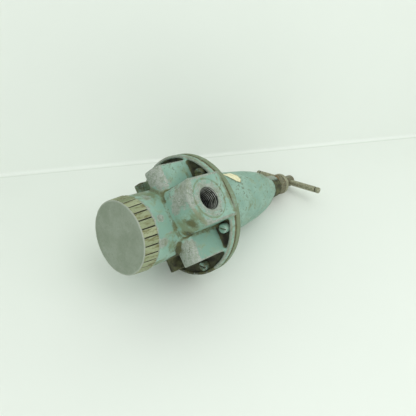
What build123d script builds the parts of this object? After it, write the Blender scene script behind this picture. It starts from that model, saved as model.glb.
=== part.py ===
from build123d import *
import math
import os

os.makedirs("parts", exist_ok=True)

# Pneumatic pressure regulator with a tee-bar adjusting screw, in millimetres.
# It stands on the flat face of its bottom plug: +Z runs along the common axis from that face to the
# tee bar. The outlet boss faces +X, the inlet boss faces -X, the gauge bosses face +Y and -Y.

# bottom plug
plug_r_front = 34.0
plug_r_back = 35.2
plug_h = 15.5
rib_count = 28
rib_gap = 1.3
rib_depth = 1.3
spigot_r = 26.95
spigot_top = 30.0
guide_post_r = 8.6
guide_post_top = 36.0
guide_bore_r = 4.06

# body casting
neck_r = 33.9
neck_z = 15.8
port_z = 58.7
port_reach = 63.7
port_half_w = 21.8
port_nose_z = 34.4
port_corner_z = 43.0
port_bore_r = 9.9
port_bore_len = 20.0
port_mouth_r = 11.0
spot_r = 18.7
spot_depth = 0.8
gauge_x = 22.8
gauge_z = 57.0
gauge_half_w = 11.7
gauge_reach = 47.0
gauge_nose_z = 41.5
gauge_corner_z = 46.5
gauge_bore_r = 6.2
gauge_bore_len = 14.0
gauge_mouth_r = 7.0
lug_x = -15.0
lug_half_w = 6.0
lug_reach = 46.5
lug_z = 53.0

# flanges and the clamped diaphragm
flange_r = 61.2
lip_r = 58.2
lip_z = 80.3
floor_z = 83.3
body_top_z = 87.0
sheet_h = 1.4
bonnet_z = body_top_z + sheet_h
bonnet_flange_top = 95.2
screw_circle_r = 53.0
screw_angles = (32, 90, 148, 212, 270, 328)
clamp_screw_r = 2.9

# chambers inside the body
low_chamber_r = 20.0
low_chamber_top = 58.0
seat_web_top = 64.0
seat_r = 12.0
seat_bore_r = 7.0
up_chamber_r = 17.0
up_chamber_top = 72.0
sense_floor_z = 79.0
sense_r = 33.0
stem_r = 2.0

# bonnet
bonnet_base_r = 38.6
bonnet_wall = 4.0
bonnet_thread_r = 6.05
bonnet_end_z = 242.8

# adjusting gear
screw_r = 6.0
screw_bottom_z = 205.6
head_r = 7.1
head_z = 266.5
head_top_z = 285.0
bar_z = 276.0
bar_r = 3.75
bar_half = 47.0
bar_angle = 38.0
nut_z = 243.4
nut_h = 11.0
nut_flats = 24.0
collar_z = 254.8
collar_h = 5.0
collar_r = 13.0
button_z = 195.0
button_h = 6.0
button_r = 17.5
ball_r = 3.0
spring_foot_z = 89.4


def cyl(radius, low, high, x=0.0, y=0.0):
    return Pos(x, y, (low + high) / 2) * Cylinder(radius, high - low)


def ring(inner, outer, low, high, x=0.0, y=0.0):
    return cyl(outer, low, high, x, y) - cyl(inner, low - 1, high + 1, x, y)


def cyl_x(radius, low, high, y=0.0, z=0.0):
    return Pos((low + high) / 2, y, z) * Rot(0, 90, 0) * Cylinder(radius, abs(high - low))


def cyl_y(radius, low, high, x=0.0, z=0.0):
    return Pos(x, (low + high) / 2, z) * Rot(90, 0, 0) * Cylinder(radius, abs(high - low))


def ring_x(inner, outer, length):
    return Rot(0, 90, 0) * (Cylinder(outer, length) - Cylinder(inner, length + 1))


def cone(low_r, high_r, low, high):
    return Pos(0, 0, (low + high) / 2) * Cone(low_r, high_r, high - low)


def turned(points):
    """Solid of revolution about Z from an (r, z) outline."""
    face = make_face(Plane.XZ * Polyline(*points, close=True))
    return revolve(face, Axis.Z)


def boss_outline(half_w, nose_z, corner_z, top_z):
    edges = Polyline((half_w, corner_z), (half_w, top_z), (-half_w, top_z), (-half_w, corner_z))
    nose = ThreePointArc((-half_w, corner_z), (0, nose_z), (half_w, corner_z))
    return make_face(edges + nose)


def save(shape, node):
    export_step(shape, "parts/" + node + ".step")


# ---- bottom plug: ribbed cap, spigot and guide post in one turned piece
plug = cone(plug_r_front, plug_r_back, 0, plug_h)
rim_edges = plug.edges().filter_by(GeomType.CIRCLE)
plug = chamfer(rim_edges, 0.6)
for i in range(rib_count):
    gap = Pos(plug_r_back + 2.6 - rib_depth, 0, plug_h / 2 + 0.6) * Box(6.0, rib_gap, plug_h)
    plug -= Rot(0, 0, 360 / rib_count * i) * gap
plug += cyl(spigot_r, plug_h - 0.1, spigot_top)
plug -= ring(guide_post_r, 13.4, 24.0, spigot_top + 1)
plug += cyl(guide_post_r, 24.0, guide_post_top)
plug -= cyl(guide_bore_r, 25.0, guide_post_top + 1)
plug -= cyl(6.25, 31.0, 33.4)
plug = chamfer(plug.edges().group_by(Axis.Z)[-1], 0.4)
save(plug, "bottom_plug")

# ---- body casting: neck, two pipe bosses, two gauge bosses, lugs and the clamped flange
body = cyl(neck_r, neck_z, floor_z + 1)
body = chamfer(body.edges().group_by(Axis.Z)[0], 0.8)
port_face = boss_outline(port_half_w, port_nose_z, port_corner_z, floor_z + 1)
for side in (1, -1):
    arm = extrude(Plane(origin=(0, 0, 0), x_dir=(0, 1, 0), z_dir=(1, 0, 0)) * port_face, port_reach)
    arm = fillet(arm.edges().group_by(Axis.X)[-1].filter_by(GeomType.CIRCLE), 1.2)
    if side < 0:
        arm = Rot(0, 0, 180) * arm
    body += arm
gauge_face = boss_outline(gauge_half_w, gauge_nose_z, gauge_corner_z, floor_z + 1)
for side in (1, -1):
    plane = Plane(origin=(gauge_x, 0, 0), x_dir=(-side, 0, 0), z_dir=(0, side, 0))
    arm = extrude(plane * gauge_face, gauge_reach)
    body += arm
    lug = Pos(lug_x, side * lug_reach / 2, (lug_z + floor_z + 1) / 2)
    lug = lug * Box(2 * lug_half_w, lug_reach, floor_z + 1 - lug_z)
    lug_edges = lug.edges().group_by(Axis.Z)[0].filter_by(Axis.Y)
    body += fillet(lug_edges, 4.5)
flange = cyl(flange_r, lip_z, body_top_z)
flange -= cyl(lip_r, lip_z - 1, floor_z)
flange = chamfer(flange.edges().filter_by(GeomType.CIRCLE).group_by(Axis.Z)[0], 0.5)
body += flange

# plug bore, inlet chamber, seat web, outlet chamber and sensing chamber
body -= cyl(27.0, neck_z - 1, 31.0)
body -= ring(28.8, 32.2, neck_z - 1, 17.8)
body -= cyl(low_chamber_r, 30.0, low_chamber_top)
body -= cyl(seat_r, low_chamber_top - 1, seat_web_top + 1)
body -= cyl(up_chamber_r, seat_web_top, up_chamber_top)
body -= cyl(stem_r + 0.3, up_chamber_top - 1, sense_floor_z + 1)
body -= cyl(4.3, 74.2, 76.6)
sense = [(0, sense_floor_z), (sense_r - 4, sense_floor_z), (sense_r, 83.6), (44.0, 86.3), (44.0, 88.0), (0, 88.0)]
body -= turned(sense)

# pipe threads as plain bores at their mean radius, with mouth bevels and spot-faced seats
for side in (1, -1):
    body -= cyl_x(port_bore_r, side * (port_reach - port_bore_len), side * (port_reach + 1), z=port_z)
    bevel = Cone(port_bore_r, port_mouth_r + 0.2, 1.4)
    body -= Pos(side * (port_reach - 0.6), 0, port_z) * Rot(0, 90 * side, 0) * bevel
    seat = cyl_x(spot_r, side * (port_reach - spot_depth), side * (port_reach + 1), z=port_z)
    seat -= cyl_x(spot_r - 1.4, side * (port_reach - 2), side * (port_reach + 2), z=port_z)
    body -= seat
body -= cyl_x(6.5, -(port_reach - port_bore_len), -15.0, z=51.2)
body -= cyl_x(6.3, 14.0, port_reach - port_bore_len, z=66.3)
for side in (1, -1):
    deep = side * (gauge_reach - gauge_bore_len)
    body -= cyl_y(gauge_bore_r, deep, side * (gauge_reach + 1), x=gauge_x, z=gauge_z)
    bevel = Cone(gauge_bore_r, gauge_mouth_r + 0.1, 1.0)
    body -= Pos(gauge_x, side * (gauge_reach - 0.4), gauge_z) * Rot(-90 * side, 0, 0) * bevel
    body -= cyl_y(2.2, 0, deep, x=gauge_x + 1.7, z=62.0)
body -= cyl(1.85, 70.0, sense_floor_z + 1, x=24.0)
for angle in screw_angles:
    x = screw_circle_r * math.cos(math.radians(angle))
    y = screw_circle_r * math.sin(math.radians(angle))
    body -= cyl(3.3, floor_z - 5, body_top_z + 1, x, y)
save(body, "body")

# ---- sealing rings and the seat held in the body
save(Pos(0, 0, 16.65) * Torus(30.5, 1.1), "plug_oring")
save(Pos(0, 0, 32.2) * Torus(5.15, 1.0), "poppet_oring")
save(Pos(0, 0, 75.4) * Torus(3.15, 1.0), "stem_oring")
seat_ring = ring(seat_bore_r, seat_r - 0.02, low_chamber_top + 0.2, seat_web_top + 1.6)
seat_ring += ring(seat_bore_r, 8.4, low_chamber_top - 0.4, low_chamber_top + 0.3)
save(seat_ring, "valve_seat")
save(ring(1.1, 1.8, 70.5, 80.2, x=24.0), "aspirator_tube")

# ---- poppet, seal disc, stem and their closing spring
poppet = cyl(4.0, 28.0, 47.0)
poppet += cyl(13.0, 46.9, 49.0)
poppet += cyl(10.4, 48.9, 57.0)
poppet -= cyl(9.4, 54.4, 58.0)
poppet -= cyl(stem_r + 0.05, 49.9, 58.0)
save(poppet, "valve_poppet")
save(ring(stem_r + 0.05, 9.3, 54.45, 57.5), "poppet_seal")
stem = cyl(stem_r, 50.0, 81.8)
stem = chamfer(stem.edges().filter_by(GeomType.CIRCLE), 0.4)
save(stem, "valve_stem")


def coil_spring(mean_r, wire_r, low, high, turns):
    """Closed-end helical spring: the centre line starts and stops one wire radius inside the ends."""
    height = high - low - 2 * wire_r
    path = Pos(0, 0, low + wire_r) * Helix(height / turns, height, mean_r)
    start = path @ 0
    section = Plane(origin=start, z_dir=path % 0) * Circle(wire_r)
    return sweep(section, path=path, is_frenet=True)


save(coil_spring(11.0, 0.8, 24.1, 46.8, 5.5), "valve_spring")

# ---- diaphragm: clamped rim, dished convolution and moving centre
rim = ring(46.0, 60.3, body_top_z + 0.02, bonnet_z - 0.02)
for angle in screw_angles:
    x = screw_circle_r * math.cos(math.radians(angle))
    y = screw_circle_r * math.sin(math.radians(angle))
    rim -= cyl(3.2, body_top_z - 1, bonnet_z + 1, x, y)
save(rim, "diaphragm_rim")
dish = [(30.7, 85.7), (30.7, 86.8), (33.0, 86.8), (43.4, 88.3), (45.8, 88.3), (45.8, 87.1), (43.6, 87.1)]
dish += [(33.2, 85.7)]
save(turned(dish), "diaphragm_convolution")
save(ring(4.3, 30.4, 85.6, 86.8), "diaphragm_center")
lower_plate = ring(4.15, 27.0, 83.6, 85.5)
save(chamfer(lower_plate.edges().group_by(Axis.Z)[0].filter_by(GeomType.CIRCLE), 0.6), "lower_plate")
upper_plate = ring(4.15, 28.0, 86.9, spring_foot_z)
upper_plate += ring(4.15, 9.6, spring_foot_z - 0.1, 94.0)
save(upper_plate, "upper_plate")
relief = cyl(4.05, 82.4, 98.5)
relief += cyl(6.5, 82.4, 83.5)
relief -= cyl(1.2, 80.0, 100.0)
save(relief, "relief_seat")
relief_nut = Pos(0, 0, 94.1) * extrude(RegularPolygon(6.3, 6, major_radius=True), 3.4)
save(relief_nut - cyl(4.15, 90.0, 100.0), "relief_nut")

# ---- range spring, its button and the thrust ball
save(coil_spring(14.0, 2.1, spring_foot_z + 0.1, button_z - 0.1, 9.0), "range_spring")
button = cyl(button_r, button_z, button_z + button_h)
button += cyl(11.0, button_z - 5.0, button_z + 0.1)
button = chamfer(button.edges().filter_by(GeomType.CIRCLE), 0.6)
button -= Pos(0, 0, button_z + button_h + 1.6) * Sphere(ball_r + 0.05)
save(button, "spring_button")
save(Pos(0, 0, button_z + button_h + 1.6) * Sphere(ball_r), "thrust_ball")

# ---- bonnet: flange, tapered spring chamber, domed end with the screw thread
outer = [(0, bonnet_z), (flange_r, bonnet_z), (flange_r, bonnet_flange_top - 0.8)]
outer += [(flange_r - 0.8, bonnet_flange_top), (bonnet_base_r + 3.0, bonnet_flange_top)]
outer += [(bonnet_base_r + 1.0, 96.0), (bonnet_base_r, 98.2), (31.6, 160.0), (29.0, 182.0)]
outer += [(26.8, 193.5), (24.6, 202.5), (21.9, 210.0), (18.6, 216.5), (16.0, 221.0), (14.8, 224.5)]
outer += [(14.2, 230.0), (13.5, 238.0), (13.2, bonnet_end_z - 0.6), (12.6, bonnet_end_z)]
outer += [(0, bonnet_end_z)]
bonnet = turned(outer)
inner = [(0, bonnet_z - 1), (44.5, bonnet_z - 1), (44.5, 89.2), (39.0, 92.0), (34.6, 98.0)]
inner += [(27.7, 160.0), (25.0, 182.0), (22.8, 193.5), (20.6, 202.5), (18.4, 208.6), (13.0, 213.0)]
inner += [(0, 213.0)]
bonnet -= turned(inner)
bonnet -= cyl(bonnet_thread_r, 208.0, bonnet_end_z + 1)
bonnet -= cone(bonnet_thread_r, bonnet_thread_r + 1.2, bonnet_end_z - 1.2, bonnet_end_z + 0.01)
for angle in screw_angles:
    x = screw_circle_r * math.cos(math.radians(angle))
    y = screw_circle_r * math.sin(math.radians(angle))
    bonnet -= cyl(clamp_screw_r + 0.05, bonnet_z - 1, bonnet_flange_top + 1, x, y)
bonnet -= cyl_y(1.6, -60, 0, x=0, z=118.0)
save(bonnet, "bonnet")

# ---- six clamping screws with slotted round heads, one group
screws = []
for angle in screw_angles:
    head = cyl(4.5, 76.6, floor_z - 0.05)
    head = fillet(head.edges().group_by(Axis.Z)[0], 1.2)
    head -= Pos(0, 0, 76.6) * Box(12.0, 1.3, 2.4)
    screw = head + cyl(clamp_screw_r, floor_z - 0.1, 94.6)
    screws.append(Rot(0, 0, angle) * Pos(screw_circle_r, 0, 0) * Rot(0, 0, angle * 1.7) * screw)
save(Compound(children=screws), "bonnet_screws")

# ---- adjusting screw with its cross-drilled head, and the tee bar through it
spindle = cyl(screw_r, screw_bottom_z + 0.2, head_z + 0.1)
spindle = chamfer(spindle.edges().group_by(Axis.Z)[0], 1.0)
head = cyl(head_r, head_z, head_top_z)
head = fillet(head.edges().group_by(Axis.Z)[-1], 3.4)
head = chamfer(head.edges().group_by(Axis.Z)[0], 0.6)
spindle += head
spindle -= Rot(0, 0, bar_angle) * cyl_x(bar_r + 0.04, -20, 20, z=bar_z)
spindle -= Pos(0, 0, button_z + button_h + 1.6) * Sphere(ball_r + 0.05)
save(spindle, "adjusting_screw")
bar = cyl_x(bar_r, -bar_half, bar_half, z=bar_z)
bar = chamfer(bar.edges().filter_by(GeomType.CIRCLE), 0.7)
for side in (1, -1):
    for lift in (1, -1):
        burr = Pos(side * (bar_half - 8.0), 0, bar_z + lift * (bar_r - 0.2)) * Box(2.4, 3.0, 1.2)
        bar += burr
    bar -= Pos(side * (bar_half - 5.2), 0, bar_z) * ring_x(bar_r - 0.3, bar_r + 1.0, 1.6)
save(Rot(0, 0, bar_angle) * bar, "tee_bar")

# ---- lock nut and the flanged collar that rides on it
nut = extrude(RegularPolygon(nut_flats / 2, 6, major_radius=False), nut_h)
nut = Pos(0, 0, nut_z) * Rot(0, 0, 12) * nut
corner = nut_flats / 2 / math.cos(math.radians(30))
nut &= cone(corner - 1.0, corner + 3.4, nut_z, nut_z + nut_h)
nut &= cone(corner + 3.4, corner - 1.0, nut_z, nut_z + nut_h)
nut -= cyl(screw_r + 0.05, nut_z - 1, nut_z + nut_h + 1)
save(nut, "lock_nut")
collar = cyl(collar_r, collar_z, collar_z + collar_h)
collar = chamfer(collar.edges().filter_by(GeomType.CIRCLE), 0.7)
collar -= cyl(screw_r + 0.05, collar_z - 1, collar_z + collar_h + 1)
save(collar, "jam_collar")

# ---- torn scrap of a paper label on the bonnet's taper
slope = (bonnet_base_r - 31.6) / (160.0 - 98.2)
band = []
for z in (134.0, 154.0):
    band.append(bonnet_base_r - (z - 98.2) * slope)
scrap = cone(band[0] + 0.26, band[1] + 0.26, 134.0, 154.0) - cone(band[0] + 0.04, band[1] + 0.04, 134.0, 154.0)
tear = Polyline((-8, 135), (-3, 134.4), (4, 137), (10, 141), (12, 147), (7, 152), (0, 153.6), (-7, 149), close=True)
cutter = extrude(Plane(origin=(0, 0, 0), x_dir=(0, 1, 0), z_dir=(1, 0, 0)) * make_face(tear), 60)
scrap = scrap & (Rot(0, 0, -38) * cutter)
save(scrap, "label_scrap")
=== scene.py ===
import math

import bmesh
import bpy
import numpy as np
from mathutils import Matrix, Vector, noise


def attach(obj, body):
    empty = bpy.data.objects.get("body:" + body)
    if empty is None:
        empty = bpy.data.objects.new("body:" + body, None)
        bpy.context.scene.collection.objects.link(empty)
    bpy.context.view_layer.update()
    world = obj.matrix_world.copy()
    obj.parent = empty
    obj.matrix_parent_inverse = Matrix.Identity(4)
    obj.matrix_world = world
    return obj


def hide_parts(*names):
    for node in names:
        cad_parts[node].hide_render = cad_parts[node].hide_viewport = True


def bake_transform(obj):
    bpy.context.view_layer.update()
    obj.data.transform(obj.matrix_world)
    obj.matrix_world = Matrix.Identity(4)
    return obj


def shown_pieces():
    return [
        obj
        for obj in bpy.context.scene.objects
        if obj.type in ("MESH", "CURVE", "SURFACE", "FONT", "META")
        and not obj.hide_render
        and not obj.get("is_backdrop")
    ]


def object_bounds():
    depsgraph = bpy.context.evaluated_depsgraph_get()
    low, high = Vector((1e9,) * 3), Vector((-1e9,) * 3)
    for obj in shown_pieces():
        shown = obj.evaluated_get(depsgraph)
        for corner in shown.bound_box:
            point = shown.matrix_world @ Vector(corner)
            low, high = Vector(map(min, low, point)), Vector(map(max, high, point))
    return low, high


# Air pressure regulator lying on a pale sweep: chipped enamel castings, ribbed plug, rusty adjusting gear.
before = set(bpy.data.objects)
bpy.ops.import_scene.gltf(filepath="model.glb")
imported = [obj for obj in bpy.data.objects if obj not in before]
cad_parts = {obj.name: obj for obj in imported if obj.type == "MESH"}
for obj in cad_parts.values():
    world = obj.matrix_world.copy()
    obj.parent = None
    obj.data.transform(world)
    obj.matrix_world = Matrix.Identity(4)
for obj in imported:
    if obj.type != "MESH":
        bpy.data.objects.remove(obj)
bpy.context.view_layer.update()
mm = 0.001
scene = bpy.context.scene
scene.view_settings.view_transform = "Standard"
print("frame loaded:", len(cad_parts), "nodes")


# small helpers for shader trees
def newMaterial(name):
    material = bpy.data.materials.new(name)
    material.use_nodes = True
    tree = material.node_tree
    return material, tree, tree.nodes["Principled BSDF"]


def feed(tree, source, target):
    if isinstance(source, bpy.types.NodeSocket):
        tree.links.new(source, target)
    else:
        target.default_value = source


def calc(tree, operation, a, b=0.0):
    node = tree.nodes.new("ShaderNodeMath")
    node.operation = operation
    feed(tree, a, node.inputs[0])
    feed(tree, b, node.inputs[1])
    return node.outputs[0]


def objectPoint(tree, stretch=(1, 1, 1)):
    coords = tree.nodes.new("ShaderNodeTexCoord")
    mapping = tree.nodes.new("ShaderNodeMapping")
    mapping.inputs["Scale"].default_value = stretch
    tree.links.new(coords.outputs["Object"], mapping.inputs["Vector"])
    return mapping.outputs[0]


def mottle(tree, point, sizeMm, detail=3.0, rough=0.55, warp=0.0):
    node = tree.nodes.new("ShaderNodeTexNoise")
    node.inputs["Scale"].default_value = 1.0 / (sizeMm * mm)
    node.inputs["Detail"].default_value = detail
    node.inputs["Roughness"].default_value = rough
    node.inputs["Distortion"].default_value = warp
    tree.links.new(point, node.inputs["Vector"])
    return node.outputs["Fac"]


def band(tree, value, low, high, bottom=0.0, top=1.0):
    node = tree.nodes.new("ShaderNodeMapRange")
    node.interpolation_type = "SMOOTHSTEP"
    feed(tree, value, node.inputs["Value"])
    node.inputs["From Min"].default_value = low
    node.inputs["From Max"].default_value = high
    node.inputs["To Min"].default_value = bottom
    node.inputs["To Max"].default_value = top
    return node.outputs[0]


def tone(red, green, blue):
    # screen values 0-255 to a linear colour
    shares = [v / 255 for v in (red, green, blue)]
    return tuple(((v + 0.055) / 1.055) ** 2.4 if v > 10 / 255 else v / 12.92 for v in shares) + (1.0,)


def mixTone(tree, amount, a, b):
    node = tree.nodes.new("ShaderNodeMix")
    node.data_type = "RGBA"
    feed(tree, amount, node.inputs["Factor"])
    feed(tree, a, node.inputs[6])
    feed(tree, b, node.inputs[7])
    return node.outputs[2]


def field(tree, name):
    node = tree.nodes.new("ShaderNodeAttribute")
    node.attribute_name = name
    return node.outputs["Fac"]


def relief(tree, shader, height, depthMm, strength=1.0):
    node = tree.nodes.new("ShaderNodeBump")
    node.inputs["Strength"].default_value = strength
    node.inputs["Distance"].default_value = depthMm * mm
    tree.links.new(height, node.inputs["Height"])
    tree.links.new(node.outputs[0], shader.inputs["Normal"])


# finishes: colours first, then one function for each kind of surface
enamel = {
    "light": tone(146, 180, 164), "deep": tone(124, 160, 144), "film": tone(138, 158, 130),
    "zinc": tone(166, 172, 164), "zincDark": tone(130, 140, 124), "zincBright": tone(214, 216, 212),
    "chip": tone(104, 116, 96), "dirt": tone(90, 94, 60), "dirtDark": tone(46, 46, 28),
    # the near-black tone below is painted shade in port depths, flange pockets and thread flanks, partly real
    # soot
    "rust": tone(108, 76, 40), "shadeAndSoot": tone(12, 12, 9), "dust": tone(108, 120, 84),
}


def enamelMaterial(name, chips=0.0, grime=0.0, chipShow=1.0):
    material, tree, shader = newMaterial(name)
    point = objectPoint(tree)
    broad = mottle(tree, point, 26, 2.0)
    middle = mottle(tree, point, 8, 3.0, 0.6, 0.6)
    small = mottle(tree, point, 2.6, 3.0, 0.62, 0.8)
    fine = mottle(tree, point, 0.9, 2.0, 0.6)
    paint = mixTone(tree, band(tree, broad, 0.36, 0.64), enamel["deep"], enamel["light"])
    paint = mixTone(tree, band(tree, middle, 0.47, 0.72, 0.0, 0.7), paint, enamel["film"])
    paint = mixTone(tree, band(tree, small, 0.6, 0.4, 0.0, 0.35), paint, enamel["deep"])
    zinc = mixTone(tree, band(tree, small, 0.34, 0.66), enamel["zincDark"], enamel["zinc"])
    zinc = mixTone(tree, band(tree, fine, 0.6, 0.75, 0.0, 0.6), zinc, enamel["zincBright"])
    dirt = mixTone(tree, band(tree, middle, 0.35, 0.65), enamel["dirtDark"], enamel["dirt"])
    dirt = mixTone(tree, band(tree, small, 0.6, 0.76, 0.0, 0.55), dirt, enamel["rust"])
    # bare metal where the enamel has worn through: edges, corners and rubbed places
    wear = calc(tree, "ADD", calc(tree, "MULTIPLY", field(tree, "edgeWear"), 0.95), field(tree, "bare"))
    wear = calc(tree, "ADD", wear, calc(tree, "MULTIPLY", calc(tree, "SUBTRACT", middle, 0.5), 1.0))
    wear = calc(tree, "ADD", wear, calc(tree, "MULTIPLY", calc(tree, "SUBTRACT", small, 0.5), 1.0))
    wear = calc(tree, "ADD", wear, calc(tree, "MULTIPLY", calc(tree, "SUBTRACT", fine, 0.5), 0.7))
    worn = band(tree, wear, 0.36, 0.7, 0.0, 0.92)
    # pits and chips scattered over the enamel
    pits = calc(tree, "ADD", small, calc(tree, "MULTIPLY", calc(tree, "SUBTRACT", broad, 0.5), 0.35))
    pits = calc(tree, "ADD", pits, calc(tree, "MULTIPLY", field(tree, "chips"), 0.12))
    pitted = band(tree, pits, 0.655 - chips, 0.685 - chips, 0.0, chipShow)
    # dirt gathers in hollows, and the hollows are also darkened as painted shade
    mud = calc(tree, "ADD", field(tree, "grime"), calc(tree, "MULTIPLY", field(tree, "hollowShadeAndDirt"), 0.6))
    mud = calc(tree, "ADD", mud, calc(tree, "MULTIPLY", calc(tree, "SUBTRACT", middle, 0.5), 1.1))
    mud = calc(tree, "ADD", mud, calc(tree, "MULTIPLY", calc(tree, "SUBTRACT", fine, 0.5), 0.5))
    muddy = band(tree, mud, 0.4 - grime, 0.85 - grime)
    colour = mixTone(tree, worn, paint, zinc)
    colour = mixTone(tree, pitted, colour, enamel["chip"])
    # olive dust, thickest in the hollows, where it also stands in as painted shade
    dusty = calc(tree, "MULTIPLY", calc(tree, "SUBTRACT", middle, 0.5), 1.6)
    dusty = calc(tree, "ADD", field(tree, "dust"), dusty)
    dusty = calc(tree, "ADD", dusty, calc(tree, "MULTIPLY", field(tree, "hollowShadeAndDirt"), 0.5))
    dusty = calc(tree, "ADD", dusty, calc(tree, "MULTIPLY", calc(tree, "SUBTRACT", small, 0.5), 0.8))
    colour = mixTone(tree, band(tree, dusty, 0.1, 0.8, 0.0, 0.8), colour, enamel["dust"])
    colour = mixTone(tree, muddy, colour, dirt)
    # painted shade: near black in the port depths, the flange pockets and round one lug, partly real soot
    colour = mixTone(tree, field(tree, "shadeAndSoot"), colour, enamel["shadeAndSoot"])
    tree.links.new(colour, shader.inputs["Base Color"])
    shine = band(tree, small, 0.35, 0.65, 0.42, 0.56)
    shine = calc(tree, "ADD", shine, calc(tree, "MULTIPLY", worn, 0.06))
    shine = calc(tree, "ADD", shine, calc(tree, "MULTIPLY", muddy, 0.3))
    tree.links.new(shine, shader.inputs["Roughness"])
    metal = calc(tree, "MULTIPLY", worn, calc(tree, "SUBTRACT", 1.0, muddy))
    tree.links.new(calc(tree, "MULTIPLY", metal, 0.3), shader.inputs["Metallic"])
    height = calc(tree, "SUBTRACT", calc(tree, "MULTIPLY", fine, 0.35), calc(tree, "MULTIPLY", worn, 0.5))
    height = calc(tree, "SUBTRACT", height, calc(tree, "MULTIPLY", pitted, 0.8))
    height = calc(tree, "ADD", height, calc(tree, "MULTIPLY", calc(tree, "MULTIPLY", muddy, small), 0.9))
    relief(tree, shader, height, 0.22)
    return material


def plugMaterial():
    material, tree, shader = newMaterial("plugZinc")
    point = objectPoint(tree)
    broad = mottle(tree, point, 22, 3.0, 0.6)
    small = mottle(tree, point, 2.2, 4.0, 0.65)
    scuffs = mottle(tree, objectPoint(tree, (0.25, 1.6, 1.0)), 3.0, 3.0, 0.7)
    colour = mixTone(tree, band(tree, broad, 0.35, 0.65), tone(124, 136, 118), tone(136, 147, 131))
    colour = mixTone(tree, band(tree, small, 0.58, 0.72, 0.0, 0.5), colour, tone(110, 120, 96))
    colour = mixTone(tree, band(tree, scuffs, 0.6, 0.7, 0.0, 0.35), colour, tone(160, 168, 156))
    colour = mixTone(tree, band(tree, field(tree, "edgeWear"), 0.4, 0.9, 0.0, 0.6), colour, tone(170, 176, 164))
    colour = mixTone(tree, band(tree, field(tree, "grime"), 0.3, 0.8), colour, tone(52, 52, 32))
    tree.links.new(colour, shader.inputs["Base Color"])
    tree.links.new(band(tree, small, 0.3, 0.7, 0.42, 0.62), shader.inputs["Roughness"])
    shader.inputs["Metallic"].default_value = 0.25
    relief(tree, shader, calc(tree, "ADD", small, scuffs), 0.1, 0.6)
    return material


def ribMaterial():
    material, tree, shader = newMaterial("ribOlive")
    point = objectPoint(tree)
    streaks = mottle(tree, objectPoint(tree, (1.0, 1.0, 0.3)), 3.4, 4.0, 0.65)
    small = mottle(tree, point, 1.6, 3.0, 0.6)
    tint = field(tree, "ribTint")
    colour = mixTone(tree, tint, tone(120, 132, 98), tone(156, 164, 130))
    colour = mixTone(tree, band(tree, streaks, 0.46, 0.64, 0.0, 0.9), colour, tone(106, 104, 62))
    colour = mixTone(tree, band(tree, small, 0.6, 0.72, 0.0, 0.7), colour, tone(72, 74, 46))
    edge = calc(tree, "ADD", field(tree, "edgeWear"), calc(tree, "SUBTRACT", small, 0.5))
    colour = mixTone(tree, band(tree, edge, 0.55, 0.85, 0.0, 0.75), colour, tone(176, 182, 156))
    colour = mixTone(tree, band(tree, field(tree, "grime"), 0.2, 0.8), colour, tone(62, 62, 40))
    tree.links.new(colour, shader.inputs["Base Color"])
    tree.links.new(band(tree, small, 0.3, 0.7, 0.5, 0.75), shader.inputs["Roughness"])
    shader.inputs["Metallic"].default_value = 0.15
    relief(tree, shader, calc(tree, "ADD", streaks, small), 0.16, 0.8)
    return material


def oldSteelMaterial(name, base, pale, rustAmount):
    material, tree, shader = newMaterial(name)
    point = objectPoint(tree)
    middle = mottle(tree, point, 5.0, 3.0, 0.6, 0.5)
    small = mottle(tree, point, 1.3, 4.0, 0.65)
    colour = mixTone(tree, band(tree, small, 0.36, 0.62), base, pale)
    rusty = calc(tree, "ADD", middle, field(tree, "rust"))
    rusty = calc(tree, "ADD", rusty, calc(tree, "MULTIPLY", small, 0.25))
    rusty = band(tree, rusty, 0.74 - rustAmount, 0.86 - rustAmount)
    colour = mixTone(tree, rusty, colour, mixTone(tree, small, tone(70, 52, 28), tone(138, 100, 56)))
    edge = calc(tree, "ADD", field(tree, "edgeWear"), calc(tree, "SUBTRACT", small, 0.5))
    colour = mixTone(tree, band(tree, edge, 0.5, 0.9, 0.0, 0.7), colour, tone(188, 184, 160))
    # painted shade: hollows such as thread grooves and crimps darkened to near black-brown
    colour = mixTone(tree, band(tree, field(tree, "hollowShadeAndDirt"), 0.25, 0.8, 0.0, 0.9), colour, tone(40, 34, 20))
    tree.links.new(colour, shader.inputs["Base Color"])
    tree.links.new(calc(tree, "MULTIPLY", calc(tree, "SUBTRACT", 1.0, rusty), 0.55), shader.inputs["Metallic"])
    tree.links.new(band(tree, rusty, 0.0, 1.0, 0.44, 0.85), shader.inputs["Roughness"])
    relief(tree, shader, calc(tree, "ADD", small, calc(tree, "MULTIPLY", rusty, 0.5)), 0.14, 0.8)
    return material


def turnedMetalMaterial(name, base, dull, rough):
    material, tree, shader = newMaterial(name)
    lines = mottle(tree, objectPoint(tree, (1, 1, 14)), 2.0, 3.0, 0.6)
    stain = mottle(tree, objectPoint(tree), 6.0, 3.0, 0.6)
    colour = mixTone(tree, band(tree, stain, 0.45, 0.7, 0.0, 0.8), base, dull)
    tree.links.new(colour, shader.inputs["Base Color"])
    tree.links.new(band(tree, lines, 0.3, 0.7, rough, rough + 0.16), shader.inputs["Roughness"])
    shader.inputs["Metallic"].default_value = 1.0
    relief(tree, shader, lines, 0.03, 0.5)
    return material


def threadMaterial():
    # cut threads with painted light and shade: flanks painted black as shade, crests pale worn metal painted as
    # lit lines that fade to black in the depth of the port
    material, tree, shader = newMaterial("cutThread")
    stain = mottle(tree, objectPoint(tree), 4.0, 2.0, 0.5)
    crest = calc(tree, "MULTIPLY", field(tree, "crest"), band(tree, field(tree, "depth"), 0.2, 0.8, 1.0, 0.2))
    worn = mixTone(tree, band(tree, stain, 0.4, 0.7), tone(206, 212, 202), tone(120, 126, 110))
    colour = mixTone(tree, crest, enamel["shadeAndSoot"], worn)
    tree.links.new(colour, shader.inputs["Base Color"])
    shader.inputs["Metallic"].default_value = 0.2
    shader.inputs["Roughness"].default_value = 0.5
    relief(tree, shader, stain, 0.04, 0.5)
    return material


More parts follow.
